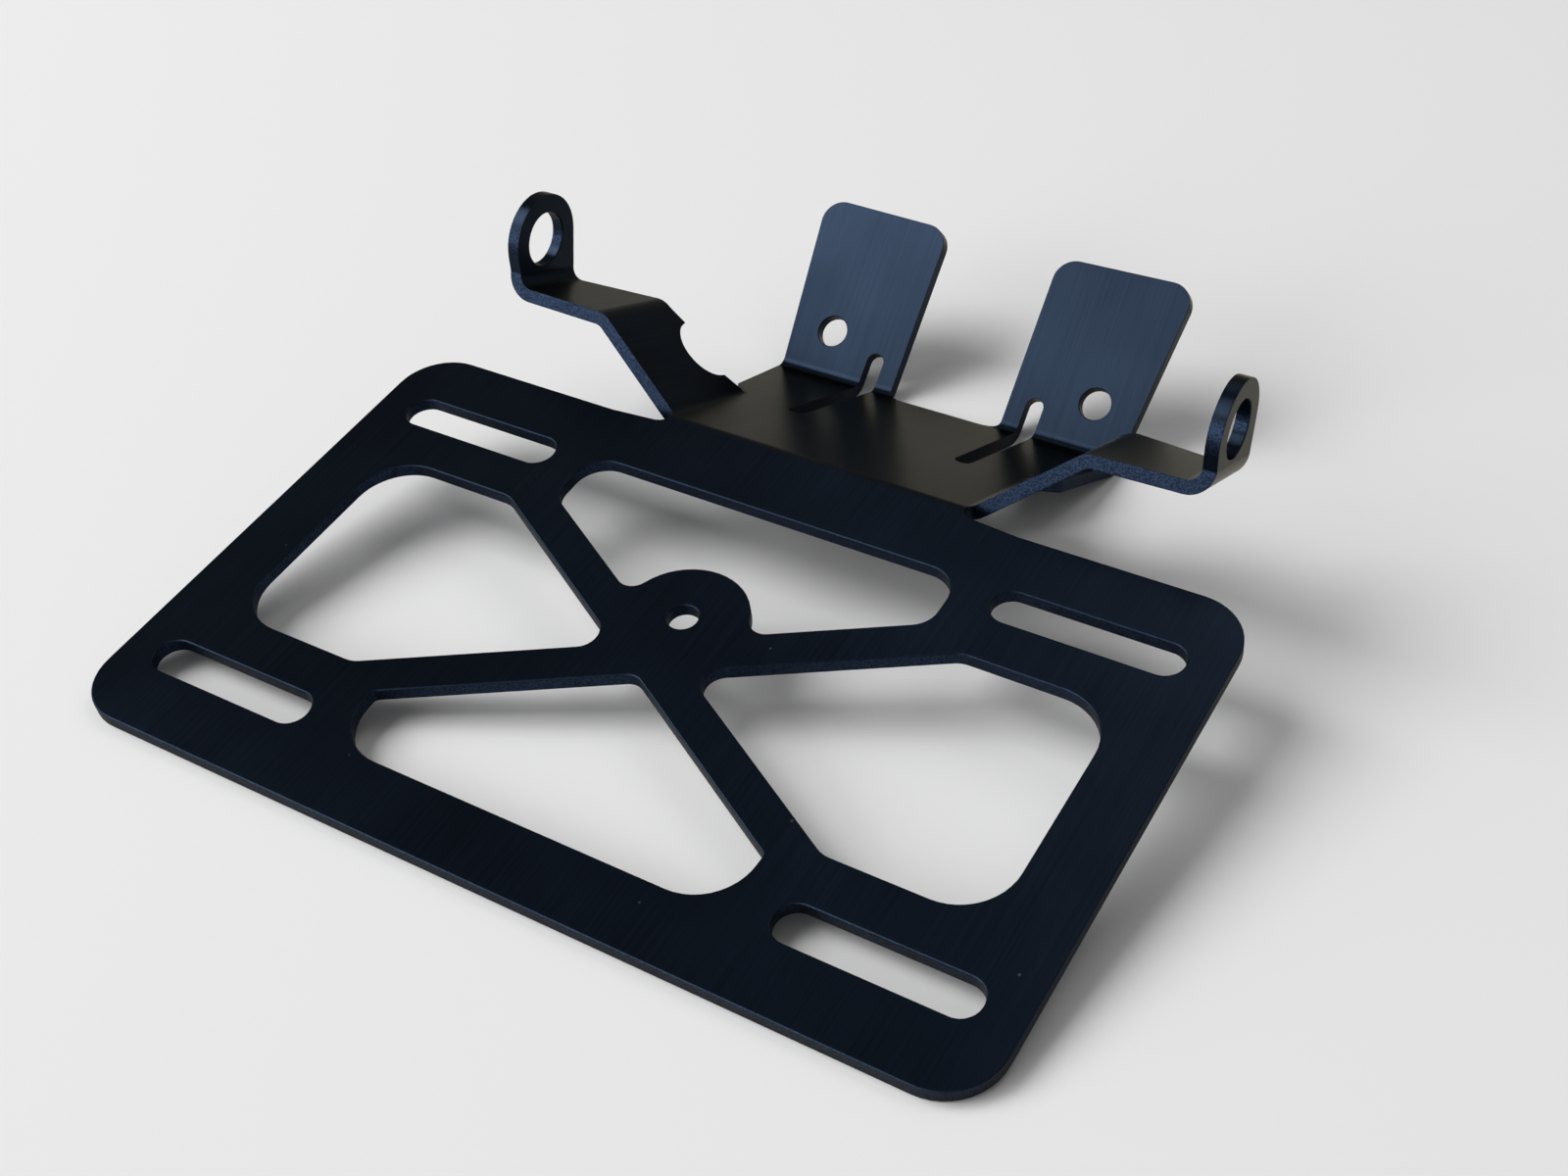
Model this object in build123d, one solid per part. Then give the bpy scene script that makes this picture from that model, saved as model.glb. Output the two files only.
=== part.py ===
from build123d import *
import math
import os

# A plate carrier for the tail of a motorcycle, cut from one sheet of aluminium and folded.
# Sizes are in millimetres and angles in degrees.
# The plate panel's front face lies in z = 0 and looks along +Z. X runs across it, Y runs up it,
# and the origin is the centre of its four slots. The left half mirrors the right half in x = 0.
#
# Every panel is drawn flat in a place of its own: its show face is z = 0 of that place,
# the sheet lies below it, and y is measured from the bend that the panel starts at.

# Sheet
sheet = 2.5
inner_radius = 2.5
edge_break = 0.15
cut_margin = 2.0

# Plate panel
plate_width = 172.0
plate_height = 101.0
plate_corner = 10.0

# Slots for the bolts of the licence plate
slot_length = 34.0
slot_width = 7.2
slot_outer_land = 6.8
slot_spacing_y = 70.0

# Cross brace between the windows, and the boss on its upper side
brace_width = 7.2
brace_under_slot = 8.9
boss_height = 10.1
boss_radius = 11.5
boss_hole = 5.5

# Windows round the brace
side_rim = 12.0
end_rim = 12.4
slot_side_land = 9.0
slot_end_land = 7.0
window_corner = 10.0
top_window_corner = 6.0
side_window_shoulder = 5.0
side_window_nose = 3.7
top_window_shoulder = 5.0
bottom_window_nose = 3.0
bottom_window_tip = 1.0
boss_fillet = 3.0

# Neck and the bend from the plate to the web
neck_rise = 1.4
neck_angle = 28.25
shoulder_rise = 0.8
shoulder_run = 9.5
notch_radius = 1.9
notch_side_land = 0.3

# Web
web_length = 51.4
web_corner_step = 5.2
web_corner_rise = 4.8

# Tabs that bolt to the tail, and the bend that lifts them off the web
tab_angle = 65.4
tab_gap = 25.0
tab_root_width = 25.9
tab_height = 35.1
tab_flare_angle = 5.45
tab_top_angle = 1.2
tab_corner = 4.5
gap_corner = 4.0
tab_hole = 6.4
tab_hole_x = 29.85
tab_hole_rise = 8.1

# Narrow slots that cross the tab bends
strap_slot_x = 18.15
strap_slot_width = 3.7
strap_slot_in_web = 28.2
strap_slot_in_tab = 6.0

# Wings for the indicators
wing_root = 30.55
wing_front = 0.9
wing_angle = 39.5
ledge_tilt = 1.2
slant_length = 20.75
ledge_length = 15.95
base_tail = 26.2
slant_back = 23.1
ledge_back_inner = 21.8
ledge_back_outer = 18.0
scallop_centre = 24.0
scallop_rise = 10.35
scallop_radius = 6.5

# Ears at the wing ends, which hold the indicator stems
ear_centre = 7.9
ear_rise = 6.2
ear_radius = 8.8
ear_hole = 10.5


def outline(corners):
    """A closed face through the corners, each given as x, y and its radius (0 is sharp)."""
    points = [(x, y) for x, y, radius in corners]
    radii = [radius for x, y, radius in corners]
    return make_face(FilletPolyline(*points, radius=radii, close=True))


def both_sides(shape):
    """A shape and its mirror image in x = 0."""
    return shape + mirror(shape, about=Plane.YZ)


def panel(face):
    """A flat panel: the drawn face, as thick as the sheet, below the show face, its holes' rims broken."""
    flat = extrude(face, -sheet)
    holes = [hole for skin in flat.faces().filter_by(Axis.Z) for hole in skin.inner_wires()]
    rims = [edge for hole in holes for edge in hole.edges()]
    return chamfer(rims, edge_break) if rims else flat


def cutter(face):
    """A cutter of the drawn shape that stands out of both faces of a panel."""
    return Pos(0, 0, cut_margin) * extrude(face, -sheet - 2 * cut_margin)


def bend_centre(turn):
    """Height of a bend's axis over the show face: above it when the bend lifts the next panel."""
    return inner_radius if turn > 0 else -(sheet + inner_radius)


def fold(place, length, turn):
    """The place of the next panel, past a bend of `turn` degrees at `length` along this one."""
    height = bend_centre(turn)
    return place * Pos(0, length, height) * Rot(turn, 0, 0) * Pos(0, 0, -height)


def bend(low, high, length, turn, margin=0):
    """The curved strip of a bend from x = low to x = high, which starts at y = length."""
    section = Rectangle(high - low, sheet + 2 * margin)
    section = Plane.XZ.offset(-length) * Pos((low + high) / 2, -sheet / 2) * section
    axis = Axis((0, length, bend_centre(turn)), (math.copysign(1, turn), 0, 0))
    return revolve(section, axis, abs(turn))


# Places of the panels. The wing's places have x up the web and y outward, on the left side.
plate_top = plate_height / 2
neck_line = plate_top + neck_rise
ledge_turn = ledge_tilt - wing_angle
ear_turn = 90 - ledge_tilt
web_place = fold(Location(), neck_line, -neck_angle)
tab_place = fold(web_place, web_length, tab_angle)
wing_place = web_place * Pos(-wing_root, 0, 0) * Rot(0, 0, 90)
slant_place = fold(wing_place, 0, wing_angle)
ledge_place = fold(slant_place, slant_length, ledge_turn)
ear_place = fold(ledge_place, ledge_length, ear_turn)

# The notch beside the neck ends in a round that stops just short of the wing's bend line.
notch_x = wing_root + notch_side_land + notch_radius
notch_y = wing_front - notch_radius

# The slots keep their land to the panel's sides, and the windows follow the rim and the slots.
slot_spacing_x = plate_width - slot_length - 2 * slot_outer_land
window_side = plate_width / 2 - side_rim
window_end = plate_top - end_rim
slot_row = slot_spacing_y / 2
side_window_end = slot_row - slot_width / 2 - slot_side_land
slot_inner_end = slot_spacing_x / 2 - slot_length / 2
end_window_side = slot_inner_end - slot_end_land

# Each arm of the brace runs from the middle to a point under the inner end of a slot.
brace_slope = (slot_row - brace_under_slot) / slot_inner_end
brace_half_rise = brace_width / 2 * math.hypot(1, brace_slope)


def brace_x(y):
    """Distance from the middle to the brace's lower edge line at the height y above its centre."""
    return (y + brace_half_rise) / brace_slope


def brace_y(x):
    """Height of the brace's upper edge line at the distance x from the middle."""
    return x * brace_slope + brace_half_rise


def side_window():
    """The right window: a five-sided opening whose nose points at the brace's crossing."""
    return outline([
        (brace_x(0), 0, side_window_nose),
        (brace_x(side_window_end), -side_window_end, side_window_shoulder),
        (window_side, -side_window_end, window_corner),
        (window_side, side_window_end, window_corner),
        (brace_x(side_window_end), side_window_end, side_window_shoulder),
    ])


def top_window():
    """The window over the brace, with the round boss standing up into it."""
    opening = outline([
        (0, brace_y(0), 0),
        (end_window_side, brace_y(end_window_side), top_window_shoulder),
        (end_window_side, window_end, top_window_corner),
        (-end_window_side, window_end, top_window_corner),
        (-end_window_side, brace_y(end_window_side), top_window_shoulder),
    ])
    opening -= Pos(0, boss_height) * Circle(boss_radius)
    centre = Vector(0, boss_height)
    on_boss = [v for v in opening.vertices() if abs((Vector(v) - centre).length - boss_radius) < sheet / 100]
    return fillet(on_boss, boss_fillet)


def bottom_window():
    """The window under the brace: a blunt wedge with its point at the crossing."""
    return outline([
        (0, -brace_y(0), bottom_window_nose),
        (-end_window_side, -brace_y(end_window_side), bottom_window_tip),
        (-end_window_side, -window_end, window_corner),
        (end_window_side, -window_end, window_corner),
        (end_window_side, -brace_y(end_window_side), bottom_window_tip),
    ])


def plate_face():
    """The plate panel: rounded rectangle with a neck, windows, plate slots and the boss hole."""
    face = RectangleRounded(plate_width, plate_height, plate_corner)
    neck = outline([
        (-notch_x, neck_line, 0),
        (-notch_x, plate_top + shoulder_rise, 0),
        (-notch_x - shoulder_run, plate_top, 0),
        (-notch_x - shoulder_run, plate_top - end_rim / 2, 0),
        (notch_x + shoulder_run, plate_top - end_rim / 2, 0),
        (notch_x + shoulder_run, plate_top, 0),
        (notch_x, plate_top + shoulder_rise, 0),
        (notch_x, neck_line, 0),
    ])
    face = face + neck - both_sides(side_window()) - top_window() - bottom_window()
    face -= GridLocations(slot_spacing_x, slot_spacing_y, 2, 2) * SlotOverall(slot_length, slot_width)
    return face - Pos(0, boss_height) * Circle(boss_hole / 2)


def plate():
    """The plate panel, its outline broken on both skins, all but the neck's bend line."""
    flat = panel(plate_face())
    skins = flat.faces().filter_by(Axis.Z)
    rim = [edge for skin in skins for edge in skin.outer_wire().edges().sort_by(Axis.Y)[:-1]]
    return chamfer(rim, edge_break)


def web_face():
    """The web: straight between the wings, then wider past them, up to the tab bends."""
    tab_side = tab_gap / 2 + tab_root_width
    half = outline([
        (0, 0, 0),
        (wing_root, 0, 0),
        (wing_root, base_tail, 0),
        (wing_root + web_corner_step, base_tail + web_corner_rise, 0),
        (tab_side, web_length, 0),
        (0, web_length, 0),
    ])
    return both_sides(half)


def tab_face():
    """The right tab: straight inner side, flared outer side, nearly square rounded top."""
    inner = tab_gap / 2
    outer = inner + tab_root_width
    flare = math.tan(math.radians(tab_flare_angle)) * tab_height
    slope = math.tan(math.radians(tab_top_angle)) * (tab_root_width + flare) / 2
    face = outline([
        (inner, 0, 0),
        (outer, 0, 0),
        (outer + flare, tab_height + slope, tab_corner),
        (inner, tab_height - slope, tab_corner),
    ])
    return face - Pos(tab_hole_x, tab_hole_rise) * Circle(tab_hole / 2)


def slant_face():
    """The wing's sloping panel, with the scallop in its rear edge."""
    scallop = Pos(scallop_centre, scallop_rise) * Circle(scallop_radius)
    face = outline([
        (wing_front, 0, 0),
        (base_tail, 0, 0),
        (scallop_centre, scallop_rise - scallop_radius, 0),
        (scallop_centre, scallop_rise, 0),
        (slant_back, scallop_rise + scallop_radius, 0),
        (ledge_back_inner, slant_length, 0),
        (wing_front, slant_length, 0),
    ])
    return face - scallop


def ledge_face():
    """The wing's level panel between the slant and the ear."""
    return outline([
        (wing_front, 0, 0),
        (ledge_back_inner, 0, 0),
        (ledge_back_outer, ledge_length, 0),
        (wing_front, ledge_length, 0),
    ])


def tangent_point(point, centre, side):
    """Where a line from a point touches the ear's round top; side is 1 in front, -1 behind."""
    reach = centre - point
    length = math.sqrt(reach.length ** 2 - ear_radius ** 2)
    turn = math.degrees(math.asin(ear_radius / reach.length))
    return point + reach.normalized().rotate(Axis.Z, side * turn) * length


def ear_face():
    """The ear: a round top with straight sides that lean forward, and the stem hole."""
    centre = Vector(ear_centre, ear_rise)
    above_bend = Rectangle(2 * ear_radius, ear_rise + ear_radius, align=(Align.CENTER, Align.MIN))
    top = Pos(ear_centre, ear_rise) * Circle(ear_radius) & Pos(ear_centre, 0) * above_bend
    front = tangent_point(Vector(wing_front, 0), centre, 1)
    back = tangent_point(Vector(ledge_back_outer, 0), centre, -1)
    sides = outline([
        (wing_front, 0, 0),
        (ledge_back_outer, 0, 0),
        (back.X, back.Y, 0),
        (ear_centre, ear_rise, 0),
        (front.X, front.Y, 0),
    ])
    return sides + top - Pos(ear_centre, ear_rise) * Circle(ear_hole / 2)


def neck_notch():
    """Cutter of the right notch beside the neck: a round end, then open to the wing's front edge."""
    end = Pos(notch_x, notch_y) * Circle(notch_radius)
    reach = wing_root + inner_radius + sheet - notch_x
    opening = Pos(notch_x, notch_y) * Rectangle(reach, notch_radius, align=Align.MIN)
    return web_place * cutter(end + opening)


def strap_slot():
    """Cutter of the right narrow slot, which runs from the web through the bend into the tab."""
    half = strap_slot_width / 2
    low = strap_slot_x - half
    straight = strap_slot_in_web - half
    in_web = Pos(low, web_length - straight) * Rectangle(strap_slot_width, straight, align=Align.MIN)
    in_web += Pos(strap_slot_x, web_length - straight) * Circle(half)
    in_tab = Pos(low, 0) * Rectangle(strap_slot_width, strap_slot_in_tab - half, align=Align.MIN)
    in_tab += Pos(strap_slot_x, strap_slot_in_tab - half) * Circle(half)
    in_bend = bend(low, low + strap_slot_width, web_length, tab_angle, cut_margin)
    return web_place * (cutter(in_web) + in_bend) + tab_place * cutter(in_tab)


def wing():
    """The left wing: bend off the web, slant, level ledge and the upright ear."""
    slant = panel(slant_face()) + bend(wing_front, ledge_back_inner, slant_length, ledge_turn)
    ledge = panel(ledge_face()) + bend(wing_front, ledge_back_outer, ledge_length, ear_turn)
    return (wing_place * bend(0, base_tail, 0, wing_angle) + slant_place * slant
            + ledge_place * ledge + ear_place * panel(ear_face()))


def gap_end():
    """Cutter of the right end of the gap: round where the web runs into the tab, within the bend's rise."""
    low = tab_gap / 2 - gap_corner
    rise = inner_radius * math.sin(math.radians(tab_angle))
    beyond = Rectangle(gap_corner, inner_radius + sheet, align=Align.MIN)
    end = Pos(low, web_length + rise) * (Ellipse(gap_corner, rise) + beyond)
    return Pos(0, 0, -sheet) * extrude(end, sheet + inner_radius)


def tab():
    """The right tab with its bend off the web, which starts with a round corner beside the gap."""
    side = tab_gap / 2
    root = bend(side - gap_corner, side + tab_root_width, web_length, tab_angle) - gap_end()
    return web_place * root + tab_place * panel(tab_face())


def carrier():
    """The whole folded sheet."""
    neck = bend(-notch_x, notch_x, neck_line, -neck_angle)
    body = plate() + neck + web_place * panel(web_face())
    body += both_sides(wing()) + both_sides(tab())
    return body - both_sides(neck_notch()) - both_sides(strap_slot())


os.makedirs("parts", exist_ok=True)
export_step(carrier(), "parts/tail_tidy_bracket.step")
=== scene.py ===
"""A folded plate carrier for a motorcycle's tail, in black anodised aluminium, on a pale studio floor.

Everything is in metres, in the frame of the part: the plate panel's front face lies in z = 0 and looks
along +Z, X runs across it and Y runs up it, towards the web and the tabs.
"""
import math
import bpy
from mathutils import Matrix, Vector


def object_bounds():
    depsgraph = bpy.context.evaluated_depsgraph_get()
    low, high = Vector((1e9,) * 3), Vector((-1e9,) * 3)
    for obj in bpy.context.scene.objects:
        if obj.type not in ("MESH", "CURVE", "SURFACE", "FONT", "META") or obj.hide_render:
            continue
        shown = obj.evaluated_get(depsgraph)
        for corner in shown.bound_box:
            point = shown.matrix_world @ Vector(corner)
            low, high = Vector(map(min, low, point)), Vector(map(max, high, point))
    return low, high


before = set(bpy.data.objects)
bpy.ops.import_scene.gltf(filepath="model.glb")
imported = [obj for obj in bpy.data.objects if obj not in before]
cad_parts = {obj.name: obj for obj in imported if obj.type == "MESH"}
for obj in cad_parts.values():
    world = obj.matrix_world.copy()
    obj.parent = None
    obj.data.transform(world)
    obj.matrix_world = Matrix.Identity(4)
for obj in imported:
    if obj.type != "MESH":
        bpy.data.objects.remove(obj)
cad_low, cad_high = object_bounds()

NODE = "tail_tidy_bracket"
MM = 0.001

# Camera: the place and the viewing angle of the photograph. Turns are in degrees, lens and sensor in mm.
CAMERA_PLACE = Vector((156.5, -166.4, 234.8)) * MM
CAMERA_AZIMUTH = 37.30
CAMERA_DROP = 44.58
CAMERA_ROLL = -8.99
CAMERA_LENS = 45.54
SENSOR_WIDTH = 36.0
CAMERA_NEAR = 10 * MM

# Floor: it touches the plate panel's lower back edge and the bend at the foot of the tabs
REST_FRONT = Vector((0, -50.5, -2.5)) * MM
REST_BACK = Vector((0, 99.79, -27.63)) * MM
FLOOR_SIZE = 12.0
FLOOR_PAPER = "#ececec"

# Lights: a wide window low on the left in front of the part, a broad one high on the left, a weak fill
# beyond the part and a plain grey room. FROM is a light's direction from the part, SIZE its width in metres,
# SPREAD the angle in degrees of the cone that it shines into, and POWER is in watts.
LIGHT_COLOUR = "#ffffff"
LIGHT_DISTANCE = 3.5
WINDOW_FROM = Vector((-0.50, -0.80, 0.31))
WINDOW_SIZE = 3.0
WINDOW_SPREAD = 120
WINDOW_POWER = 62.0
SKY_FROM = Vector((-0.65, -0.15, 0.745))
SKY_SIZE = 2.5
SKY_SPREAD = 110
SKY_POWER = 41.0
FILL_FROM = Vector((0.12, 0.68, 0.72))
FILL_SIZE = 2.0
FILL_SPREAD = 180
FILL_POWER = 12.5
ROOM_COLOUR = "#c9c9c9"
ROOM_STRENGTH = 0.31

# Directions on the part: against the plate panel, the web falls away and the tabs rise by these angles
WEB_FALL = math.radians(28.25)
TAB_RISE = math.radians(37.15)
UP_THE_WEB = (0, math.cos(WEB_FALL), -math.sin(WEB_FALL))
UP_THE_TABS = (0, math.cos(TAB_RISE), math.sin(TAB_RISE))
ACROSS = (1, 0, 0)
OUT_OF_THE_PLATE = (0, 0, 1)

# A cut edge is told by the way it faces. Each pair says how far a normal points along a direction where the
# edge's finish starts to show, and where it is whole.
FACING_ALONG = (0.94, 0.97)
FACING_ASIDE = (0.3, 0.2)

# The plate panel ends below PLATE_TOP. What faces across past EAR_SIDE, and isn't on the plate panel, is the
# flat side of an ear and no cut edge.
PLATE_TOP = 51 * MM
EAR_SIDE = 55 * MM

# Brushing: real lines are about 0.15 mm apart. They are drawn 0.5 mm apart, so that they show.
BRUSH_PITCH = 0.5 * MM
BRUSH_LENGTH = 40 * MM
BRUSHED_ROUGHNESS = (0.28, 0.38)

# Dye: paler in soft clouds a few centimetres across, and by BRUSH_SHARE along the brush lines. DYE_RANGE is
# where their noise turns it from dark to pale. GRAZING_TINT dims and warms what shows in it at a low angle.
NAVY_DYE = "#1a222f"
NAVY_PALE = "#263140"
GRAZING_TINT = "#e1ddd0"
CLOUD_SIZE = 35 * MM
BRUSH_SHARE = 0.4
DYE_RANGE = (0.32, 0.68)

# Dust specks, about 0.5 mm across. The two radii are shares of the pitch. The pitch is that of points in
# space, and only those close to the surface show, so the specks are about 34 mm apart on the sheet.
DUST = "#5d646c"
DUST_PITCH = 9 * MM
DUST_RADII = (0.035, 0.022)

# Laser-cut edges: rougher than the skins, and finely speckled. The speckle is drawn coarse, so that it shows.
EDGE_DARK = "#161e2a"
EDGE_PALE = "#283449"
SPECKLE_SIZE = 0.35 * MM
SPECKLE_RANGE = (0.35, 0.65)
CUT_ROUGHNESS = 0.42

# Shading alone gives the relief of the brush lines and the speckle, and softens the edges
RELIEF_DEPTH = 0.02 * MM
EDGE_SOFTNESS = 0.25 * MM


def linear(colour):
    """An sRGB hex colour as the linear values that the shader takes."""
    channels = [int(colour[i:i + 2], 16) / 255 for i in (1, 3, 5)]
    return tuple(c / 12.92 if c <= 0.04045 else ((c + 0.055) / 1.055) ** 2.4 for c in channels) + (1.0,)


def add(tree, kind, settings=None, links=None):
    """A node of the given kind, with its settings (by attribute or input) and its links (input: output)."""
    node = tree.nodes.new(kind)
    for name, value in (settings or {}).items():
        if isinstance(name, str) and hasattr(node, name):
            setattr(node, name, value)
        else:
            node.inputs[name].default_value = value
    for name, source in (links or {}).items():
        tree.links.new(source, node.inputs[name])
    return node


def new_material(name):
    """An empty material with its node tree."""
    material = bpy.data.materials.new(name)
    material.use_nodes = True
    material.node_tree.nodes.clear()
    return material, material.node_tree


def brush_lines(tree, place):
    """The fine lines of the brushing, which run up the sheet."""
    stretched = add(tree, "ShaderNodeMapping",
                    {"Scale": (1 / BRUSH_PITCH, 1 / BRUSH_LENGTH, 1 / BRUSH_LENGTH)},
                    {"Vector": place.outputs["Object"]})
    lines = add(tree, "ShaderNodeTexNoise", {"Scale": 1.0, "Detail": 3.0, "Roughness": 0.6},
                {"Vector": stretched.outputs["Vector"]})
    return lines.outputs["Fac"]


def dyed_skin(tree, place, brush):
    """The colour of the brushed skins: uneven navy dye, with a few specks of dust."""
    cloud = add(tree, "ShaderNodeTexNoise", {"Scale": 1 / CLOUD_SIZE, "Detail": 2.0},
                {"Vector": place.outputs["Object"]})
    streak = add(tree, "ShaderNodeMix", {0: BRUSH_SHARE}, {2: cloud.outputs["Fac"], 3: brush})
    pale = add(tree, "ShaderNodeMapRange", {"From Min": DYE_RANGE[0], "From Max": DYE_RANGE[1]},
               {"Value": streak.outputs[0]})
    dye = add(tree, "ShaderNodeMix", {"data_type": "RGBA", 6: linear(NAVY_DYE), 7: linear(NAVY_PALE)},
              {0: pale.outputs["Result"]})
    specks = add(tree, "ShaderNodeTexVoronoi", {"Scale": 1 / DUST_PITCH}, {"Vector": place.outputs["Object"]})
    dusty = add(tree, "ShaderNodeMapRange", {"From Min": DUST_RADII[0], "From Max": DUST_RADII[1]},
                {"Value": specks.outputs["Distance"]})
    skin = add(tree, "ShaderNodeMix", {"data_type": "RGBA", 7: linear(DUST)},
               {0: dusty.outputs["Result"], 6: dye.outputs[2]})
    return skin.outputs[2]


def speckled_cut(tree, grain):
    """The colour of the laser-cut edges: dark, with paler grains."""
    pale = add(tree, "ShaderNodeMapRange", {"From Min": SPECKLE_RANGE[0], "From Max": SPECKLE_RANGE[1]},
               {"Value": grain})
    dye = add(tree, "ShaderNodeMix", {"data_type": "RGBA", 6: linear(EDGE_DARK), 7: linear(EDGE_PALE)},
              {0: pale.outputs["Result"]})
    return dye.outputs[2]


def cut_edges(tree, place):
    """Where the laser cut the sheet: 1 on a cut edge, 0 on the skins, told by the normal and the place.

    Off the plate panel, rims that face other ways, such as most of an ear's round top, keep the finish of
    the skins.
    """
    spot = add(tree, "ShaderNodeSeparateXYZ", None, {"Vector": place.outputs["Object"]})
    on_plate = add(tree, "ShaderNodeMath", {"operation": "LESS_THAN", 1: PLATE_TOP}, {0: spot.outputs["Y"]})
    aside = add(tree, "ShaderNodeMath", {"operation": "ABSOLUTE"}, {0: spot.outputs["X"]})
    between_ears = add(tree, "ShaderNodeMath", {"operation": "LESS_THAN", 1: EAR_SIDE},
                       {0: aside.outputs["Value"]})
    off_ears = add(tree, "ShaderNodeMath", {"operation": "MAXIMUM"},
                   {0: on_plate.outputs["Value"], 1: between_ears.outputs["Value"]})
    edges = (
        (UP_THE_WEB, FACING_ALONG, None),
        (UP_THE_TABS, FACING_ALONG, None),
        (ACROSS, FACING_ALONG, off_ears),
        (OUT_OF_THE_PLATE, FACING_ASIDE, on_plate),
    )
    cut = None
    for direction, (starts, whole), region in edges:
        along = add(tree, "ShaderNodeVectorMath", {"operation": "DOT_PRODUCT", 1: direction},
                    {0: place.outputs["Normal"]})
        size = add(tree, "ShaderNodeMath", {"operation": "ABSOLUTE"}, {0: along.outputs["Value"]})
        facing = add(tree, "ShaderNodeMapRange", {"From Min": starts, "From Max": whole},
                     {"Value": size.outputs["Value"]})
        shown = facing.outputs["Result"]
        if region is not None:
            inside = add(tree, "ShaderNodeMath", {"operation": "MULTIPLY"},
                         {0: shown, 1: region.outputs["Value"]})
            shown = inside.outputs["Value"]
        if cut is not None:
            either = add(tree, "ShaderNodeMath", {"operation": "MAXIMUM"}, {0: cut, 1: shown})
            shown = either.outputs["Value"]
        cut = shown
    return cut


def anodised_aluminium():
    """Brushed aluminium, anodised and dyed: near black, and slate blue where a window shows in it."""
    material, tree = new_material("anodised_brushed_aluminium")
    place = add(tree, "ShaderNodeTexCoord")
    brush = brush_lines(tree, place)
    speckle = add(tree, "ShaderNodeTexNoise", {"Scale": 1 / SPECKLE_SIZE, "Detail": 1.0},
                  {"Vector": place.outputs["Object"]})
    grain = speckle.outputs["Fac"]
    cut = cut_edges(tree, place)
    shade = add(tree, "ShaderNodeMix", {"data_type": "RGBA"},
                {0: cut, 6: dyed_skin(tree, place, brush), 7: speckled_cut(tree, grain)})
    brushed = add(tree, "ShaderNodeMapRange",
                  {"To Min": BRUSHED_ROUGHNESS[0], "To Max": BRUSHED_ROUGHNESS[1]}, {"Value": brush})
    rough = add(tree, "ShaderNodeMix", {3: CUT_ROUGHNESS}, {0: cut, 2: brushed.outputs["Result"]})
    relief = add(tree, "ShaderNodeMix", None, {0: cut, 2: brush, 3: grain})
    edge = add(tree, "ShaderNodeBevel", {"samples": 4, "Radius": EDGE_SOFTNESS})
    bump = add(tree, "ShaderNodeBump", {"Strength": 0.3, "Distance": RELIEF_DEPTH},
               {"Height": relief.outputs[0], "Normal": edge.outputs["Normal"]})
    # Brushing spreads each highlight across its lines, along X. The bit of Z serves where X is the normal.
    spread = add(tree, "ShaderNodeCombineXYZ", {"X": 1.0, "Z": 0.02})
    metal = add(tree, "ShaderNodeBsdfPrincipled",
                {"Metallic": 1.0, "Anisotropic": 0.8, "Specular Tint": linear(GRAZING_TINT)},
                {"Base Color": shade.outputs[2], "Roughness": rough.outputs[0],
                 "Normal": bump.outputs["Normal"], "Tangent": spread.outputs["Vector"]})
    add(tree, "ShaderNodeOutputMaterial", None, {"Surface": metal.outputs["BSDF"]})
    return material


def matt_paper():
    """Pale matt paper: a plain, even floor with no gloss."""
    material, tree = new_material("matt_paper")
    paper = add(tree, "ShaderNodeBsdfDiffuse", {"Color": linear(FLOOR_PAPER)})
    add(tree, "ShaderNodeOutputMaterial", None, {"Surface": paper.outputs["BSDF"]})
    return material


def make_floor():
    """The stage that the part rests on, through the two lines where the part touches it."""
    mesh = bpy.data.meshes.new("floor")
    along = (REST_BACK - REST_FRONT).normalized()
    centre = (REST_BACK + REST_FRONT) / 2
    across = Vector(ACROSS)
    half = FLOOR_SIZE / 2
    signs = ((-1, -1), (1, -1), (1, 1), (-1, 1))
    corners = [centre + across * x * half + along * y * half for x, y in signs]
    mesh.from_pydata(corners, [], [(0, 1, 2, 3)])
    floor = bpy.data.objects.new("floor", mesh)
    floor.data.materials.append(matt_paper())
    bpy.context.scene.collection.objects.link(floor)


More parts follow.
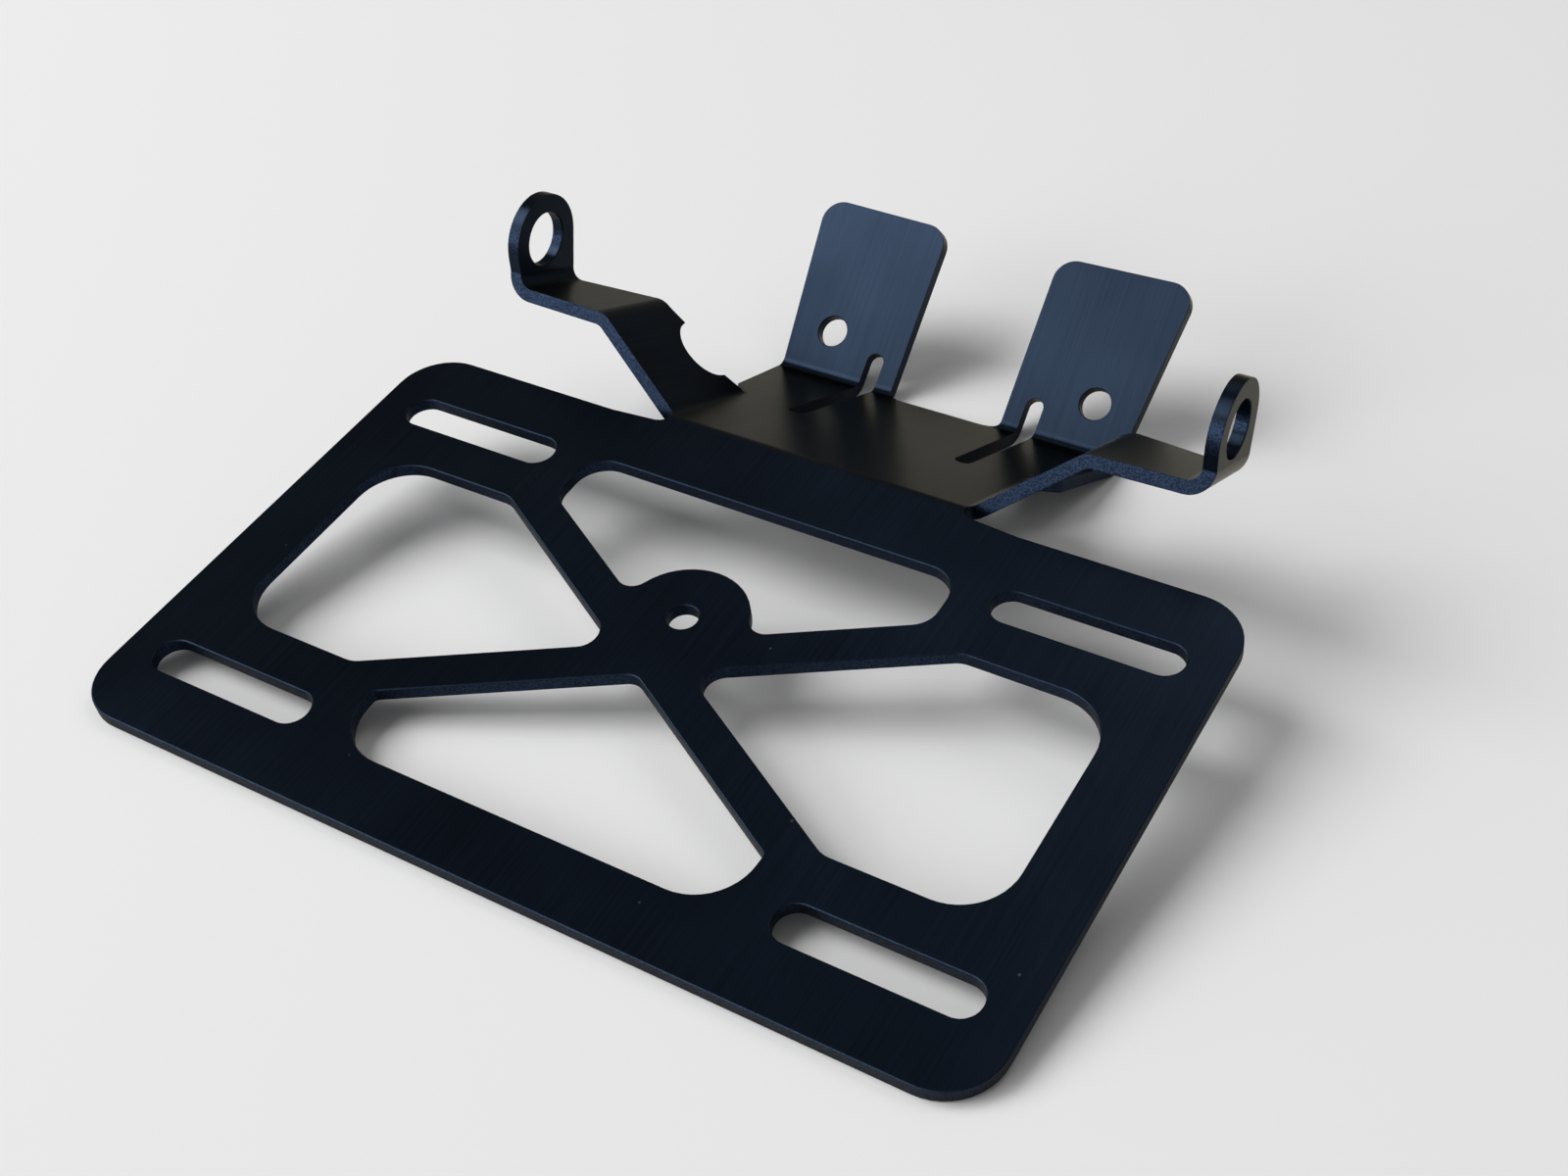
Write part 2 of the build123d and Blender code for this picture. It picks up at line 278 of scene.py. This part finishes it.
def make_area_light(name, towards, size, spread, power):
    """A square soft light in the given direction from the part, facing it."""
    lamp = bpy.data.lights.new(name, "AREA")
    lamp.shape = "SQUARE"
    lamp.size = size
    lamp.spread = math.radians(spread)
    lamp.energy = power
    lamp.color = linear(LIGHT_COLOUR)[:3]
    light = bpy.data.objects.new(name, lamp)
    away = towards.normalized()
    light.location = (cad_low + cad_high) / 2 + away * LIGHT_DISTANCE
    light.rotation_mode = "QUATERNION"
    light.rotation_quaternion = away.to_track_quat("Z", "Y")
    bpy.context.scene.collection.objects.link(light)


def make_room():
    """A plain grey room, the same from all sides."""
    world = bpy.data.worlds.new("room")
    world.use_nodes = True
    tree = world.node_tree
    tree.nodes.clear()
    glow = add(tree, "ShaderNodeBackground", {"Color": linear(ROOM_COLOUR), "Strength": ROOM_STRENGTH})
    add(tree, "ShaderNodeOutputWorld", None, {"Surface": glow.outputs["Background"]})
    bpy.context.scene.world = world


def make_camera():
    """The camera at the photograph's place, with its tilt and its roll."""
    lens = bpy.data.cameras.new("camera")
    lens.lens = CAMERA_LENS
    lens.sensor_width = SENSOR_WIDTH
    lens.clip_start = CAMERA_NEAR
    camera = bpy.data.objects.new("camera", lens)
    turn = (Matrix.Rotation(math.radians(CAMERA_AZIMUTH), 4, "Z")
            @ Matrix.Rotation(math.radians(90 - CAMERA_DROP), 4, "X")
            @ Matrix.Rotation(math.radians(CAMERA_ROLL), 4, "Z"))
    camera.matrix_world = Matrix.Translation(CAMERA_PLACE) @ turn
    bpy.context.scene.collection.objects.link(camera)
    bpy.context.scene.camera = camera


def dress_part():
    """Gives the sheet its finish."""
    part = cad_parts[NODE]
    for slot in part.material_slots:
        slot.material = anodised_aluminium()


dress_part()
make_floor()
make_area_light("window", WINDOW_FROM, WINDOW_SIZE, WINDOW_SPREAD, WINDOW_POWER)
make_area_light("sky", SKY_FROM, SKY_SIZE, SKY_SPREAD, SKY_POWER)
make_area_light("fill", FILL_FROM, FILL_SIZE, FILL_SPREAD, FILL_POWER)
make_room()
make_camera()
bpy.context.scene.view_settings.view_transform = "Standard"

bpy.context.view_layer.update()
